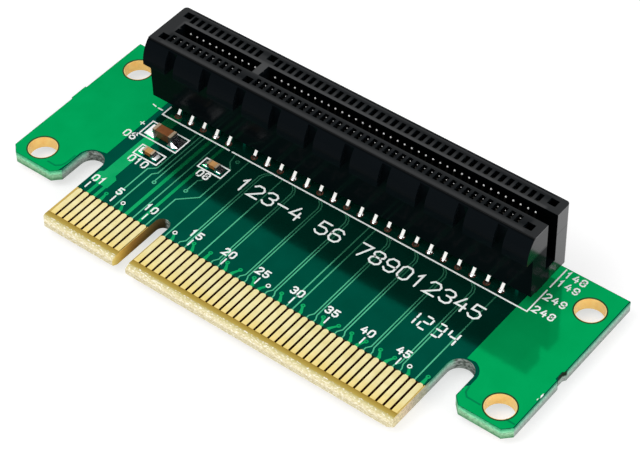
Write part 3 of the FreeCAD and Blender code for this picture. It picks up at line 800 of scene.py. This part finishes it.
def dome(mesh, x, y, radius, neck, height, base, look, sides=16, steps=4):
    """Low solder cone with hollow flanks, closing round the tail in its middle."""
    loops = []
    for step in range(steps + 1):
        along = step / steps
        wide = neck + (radius - neck) * (1 - along) ** 1.5
        loops.append(circle(mesh, x, y, base + height * along, wide, sides))
    faces = [mesh.faces.new(loops[-1]), mesh.faces.new(loops[0][::-1])]
    for lower, upper in zip(loops, loops[1:]):
        faces += band(mesh, lower, upper)
    for face in faces:
        face.material_index = look


# Radius, neck, height and look of each solder joint: 0 is bright, 1 is painted dark as shaded.
JOINTS = ((0.27, 0.20, 0.28, 1), (0.30, 0.07, 0.20, 0), (0.25, 0.19, 0.24, 1),
          (0.34, 0.08, 0.22, 0), (0.28, 0.06, 0.16, 0))
JOINT_RING = (0.1, 0.44)
JOINT_BASE = 0.03
row_y = (fillets_low.y + fillets_high.y) / 2
fillets = bmesh.new()
copper_rings = bmesh.new()
for place, number in enumerate(range(2, CONTACTS + 1, 2)):
    x = contact_x(number)
    radius, neck, height, look = JOINTS[place % len(JOINTS)]
    ring(copper_rings, x, row_y, *JOINT_RING, TOP, JOINT_BASE, sides=16)
    dome(fillets, x, row_y, radius, neck, height, TOP + JOINT_BASE, look)
joints = new_piece("solder_fillets", fillets, "solder")
joints.data.materials.append(MATERIALS["shaded_solder"])
new_piece("solder_rings", copper_rings, "copper")
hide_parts("solder_front_row")


# ---------------------------------------------------------------- white print

PRINT = 0.035
LINE = 0.18

# Single-stroke figures in a box 1 wide and 1.6 high, each a list of strokes.
FIGURE_HEIGHT = 1.6
FIGURES = {
    "0": [[(.25, 0), (0, .3), (0, 1.3), (.25, 1.6), (.75, 1.6), (1, 1.3), (1, .3), (.75, 0),
           (.25, 0)]],
    "1": [[(.2, 1.25), (.5, 1.6), (.5, 0)]],
    "2": [[(0, 1.3), (.25, 1.6), (.75, 1.6), (1, 1.3), (1, 1.0), (0, 0), (1, 0)]],
    "3": [[(0, 1.35), (.25, 1.6), (.75, 1.6), (1, 1.35), (1, 1.05), (.75, .85), (.4, .85)],
          [(.75, .85), (1, .6), (1, .25), (.75, 0), (.25, 0), (0, .25)]],
    "4": [[(.5, 1.6), (0, .55), (1, .55)], [(.78, 1.05), (.78, 0)]],
    "5": [[(.95, 1.6), (.1, 1.6), (.05, .9), (.7, .95), (1, .7), (1, .3), (.7, 0), (.25, 0),
           (0, .25)]],
    "6": [[(.95, 1.35), (.7, 1.6), (.25, 1.6), (0, 1.3), (0, .3), (.25, 0), (.75, 0), (1, .3),
           (1, .65), (.75, .9), (0, .85)]],
    "7": [[(0, 1.6), (1, 1.6), (.35, 0)]],
    "8": [[(.25, .85), (0, 1.1), (0, 1.35), (.25, 1.6), (.75, 1.6), (1, 1.35), (1, 1.1),
           (.75, .85), (.25, .85), (0, .6), (0, .25), (.25, 0), (.75, 0), (1, .25), (1, .6),
           (.75, .85)]],
    "9": [[(.05, .25), (.3, 0), (.75, 0), (1, .3), (1, 1.3), (.75, 1.6), (.25, 1.6), (0, 1.3),
           (0, .95), (.25, .7), (1, .75)]],
    "-": [[(0, .8), (1, .8)]],
    "+": [[(0, .8), (1, .8)], [(.5, .3), (.5, 1.3)]],
    " ": [],
}

# Seven short bars, as in a date stamp: each from (x, y) to (x, y) in a cell 1.25 by 2.1.
BARS = {
    "top": ((0.35, 2.05), (0.95, 2.05)), "middle": ((0.35, 1.1), (0.95, 1.1)),
    "low": ((0.35, 0.05), (0.95, 0.05)),
    "upper_left": ((0.05, 1.2), (0.05, 1.85)), "upper_right": ((1.2, 1.2), (1.2, 1.85)),
    "lower_left": ((0.05, 0.22), (0.05, 0.85)), "lower_right": ((1.2, 0.22), (1.2, 0.85)),
}
STAMP = (
    ("upper_right", "lower_right"),
    ("top", "upper_right", "middle", "lower_left", "low"),
    ("top", "upper_right", "middle", "lower_right", "low"),
    ("upper_left", "upper_right", "middle", "lower_right"),
)
STAMP_X, STAMP_Y = 31.15, 12.68
STAMP_STEP = 1.83
STAMP_LINE = 0.23

# Lines round the slot, with breaks, and three small marks to their left.
SLOT_LINE = 21.95
LEFT_LINE = -12.3
RIGHT_LINE = 41.6
LINES = (
    [(LEFT_LINE, SLOT_LINE + 1.6), (LEFT_LINE, SLOT_LINE), (-1.7, SLOT_LINE)],
    [(-1.2, SLOT_LINE), (RIGHT_LINE, SLOT_LINE), (RIGHT_LINE, 25.95)],
    [(RIGHT_LINE, 26.55), (RIGHT_LINE, 29.9)],
    [(-14.4, 22.65), (-13.9, 22.55)],
    [(-13.45, 22.5), (-12.8, 22.5)],
    [(-12.8, 17.3), (-12.45, 17.65)],
)
# Boxes round the capacitors, from corner to corner.
CAPACITOR_BOXES = ((-12.4, 17.7, -6.62, 20.35), (-10.72, 14.72, -7.07, 16.5),
                   (-3.0, 17.62, 0.55, 19.35))

# Ticks at some contacts, each with its count behind it.
TICKED = (1, 5, 10, 15, 20, 25, 30, 35, 40, 45)
TICK_LOW, TICK_HIGH = 6.95, 7.9
COUNT_Y = 8.35
COUNT_SIZE = (0.95, 0.97, 0.205)

# Rows of figures: text, x, y, height, step and width of line.
LABELS = [("01", -11.7, COUNT_Y, *COUNT_SIZE), ("5", -7.85, COUNT_Y, *COUNT_SIZE)]
LABELS += [(str(number), contact_x(number) - (0.95 if number < 20 else 0.98), COUNT_Y,
            *COUNT_SIZE) for number in TICKED[2:]]
LABELS += [("06", -13.95, 16.42, 1.02, 1.0, 0.19), ("08", -2.3, 16.4, 0.98, 1.0, 0.19),
           ("010", -10.55, 13.45, 1.0, 1.0, 0.19), ("+", -13.55, 18.85, 0.95, 1.0, 0.14)]
LABELS += [(text, 41.98, y, 0.95, 1.02, 0.19)
           for text, y in (("148", 28.82), ("149", 27.25), ("249", 24.65), ("248", 22.35))]
LONG_LABEL = ("123-4 56 789012345", 2.78, 17.45, 2.0, 1.98, 0.235)


def white_line(mesh, points, width=LINE, thickness=PRINT, closed=False):
    stroke(mesh, points, width, TOP, thickness, closed=closed)


def write(mesh, text, x, y, height, step, line, widen=1.0):
    """Row of figures from (x, y), each as high as height, one every step."""
    scale = height / FIGURE_HEIGHT
    for place, figure in enumerate(text):
        for layer, path in enumerate(FIGURES[figure]):
            spots = [(x + place * step + a * scale * widen, y + b * scale) for a, b in path]
            white_line(mesh, spots, line, PRINT * (1 + layer / 8))


silk = bmesh.new()
for path in LINES:
    white_line(silk, path)
for x0, y0, x1, y1 in CAPACITOR_BOXES:
    white_line(silk, [(x0, y0), (x1, y0), (x1, y1), (x0, y1)], closed=True)
for number in TICKED:
    x = contact_x(number) + 0.05
    white_line(silk, [(x, TICK_LOW), (x, TICK_HIGH)])
for label in LABELS:
    write(silk, *label)
write(silk, *LONG_LABEL, widen=1.12)
for place, bars in enumerate(STAMP):
    for bar in bars:
        white_line(silk, [(STAMP_X + STAMP_STEP * place + a, STAMP_Y + b)
                          for a, b in BARS[bar]], STAMP_LINE)
new_piece("white_print", silk, "silk")

# Pale flecks on the right edge.
FLECKS = (
    [(49.78, 12.75), (49.95, 12.35), (49.98, 12.9), (49.86, 13.2)],
    [(49.70, 12.05), (49.84, 11.9), (49.80, 12.3)],
)
flecks = bmesh.new()
for outline in FLECKS:
    slab(flecks, outline, TOP, PRINT)
new_piece("edge_flecks", flecks, "silk")


# ---------------------------------------------------------------- surroundings, camera, light

# Sizes and places from here on are in metres, and the lamps' powers in watts.
FLOOR_HALF = 3.0
FLOOR_GAP = 0.00002
FLOOR_GLOW = 0.62
WORLD_GIVEN = 0.5
WORLD_SEEN = 1.0
WHITE = (1, 1, 1, 1)
AIM = (0.013, 0.015, 0.0)
# Name, place, size and power of each lamp.
LAMPS = (
    ("key", (-0.15, -0.25, 0.45), (0.35, 0.35), 1.25),
    ("side", (0.45, 0.05, 0.22), (0.30, 0.30), 0.7),
    ("front", (0.30, -0.40, 0.10), (0.30, 0.20), 1.0),
)
CAMERA_PLACE = (0.132738, -0.124503, 0.191292)
CAMERA_TURN = (0.876479, 0.353133, 0.133137, 0.298925)
LENS_MM = 128.458
SENSOR_MM = 36.0


def floor_piece():
    """Grey floor that glows white only where it is seen or mirrored."""
    made = Nodes("pale_floor")
    path = made.add("ShaderNodeLightPath")
    seen = made.either(path.outputs["Is Camera Ray"], path.outputs["Is Glossy Ray"])
    made.set(Base_Color=made.cloudy(made.noise(60.0), grey(0.49), grey(0.51)),
             Roughness=0.9, Specular_IOR_Level=0.1, Emission_Color=WHITE,
             Emission_Strength=made.math("MULTIPLY", seen, FLOOR_GLOW))
    corners = [(x * FLOOR_HALF, y * FLOOR_HALF, cad_low.z - FLOOR_GAP)
               for x, y in ((-1, -1), (1, -1), (1, 1), (-1, 1))]
    data = bpy.data.meshes.new("floor")
    data.from_pydata(corners, [], [(0, 1, 2, 3)])
    data.materials.append(made.material)
    floor = bpy.data.objects.new("floor", data)
    bpy.context.scene.collection.objects.link(floor)


def held(name, data, place, turn):
    """Object that holds a lamp or the camera, with its turn as a quaternion."""
    holder = bpy.data.objects.new(name, data)
    holder.location = place
    holder.rotation_mode = "QUATERNION"
    holder.rotation_quaternion = turn
    bpy.context.scene.collection.objects.link(holder)
    return holder


def soft_light(name, place, size, power):
    lamp = bpy.data.lights.new(name, "AREA")
    lamp.shape = "RECTANGLE"
    lamp.size, lamp.size_y = size
    lamp.energy = power
    held(name, lamp, place, (Vector(AIM) - Vector(place)).to_track_quat("-Z", "Y"))


def surroundings():
    """White world, at full strength only where it is seen or mirrored."""
    world = bpy.data.worlds.new("studio")
    world.use_nodes = True
    tree = world.node_tree
    background = tree.nodes["Background"]
    path = tree.nodes.new("ShaderNodeLightPath")
    seen = tree.nodes.new("ShaderNodeMath")
    seen.operation = "MAXIMUM"
    tree.links.new(path.outputs["Is Camera Ray"], seen.inputs[0])
    tree.links.new(path.outputs["Is Glossy Ray"], seen.inputs[1])
    strength = tree.nodes.new("ShaderNodeMapRange")
    tree.links.new(seen.outputs["Value"], strength.inputs["Value"])
    strength.inputs["To Min"].default_value = WORLD_GIVEN
    strength.inputs["To Max"].default_value = WORLD_SEEN
    background.inputs["Color"].default_value = WHITE
    tree.links.new(strength.outputs["Result"], background.inputs["Strength"])
    bpy.context.scene.world = world


def camera():
    data = bpy.data.cameras.new("camera")
    data.lens = LENS_MM
    data.sensor_width = SENSOR_MM
    data.clip_start = 0.01
    data.clip_end = 10.0
    bpy.context.scene.camera = held("camera", data, CAMERA_PLACE, Quaternion(CAMERA_TURN))


floor_piece()
surroundings()
for lamp in LAMPS:
    soft_light(*lamp)
camera()
bpy.context.scene.view_settings.view_transform = "Standard"
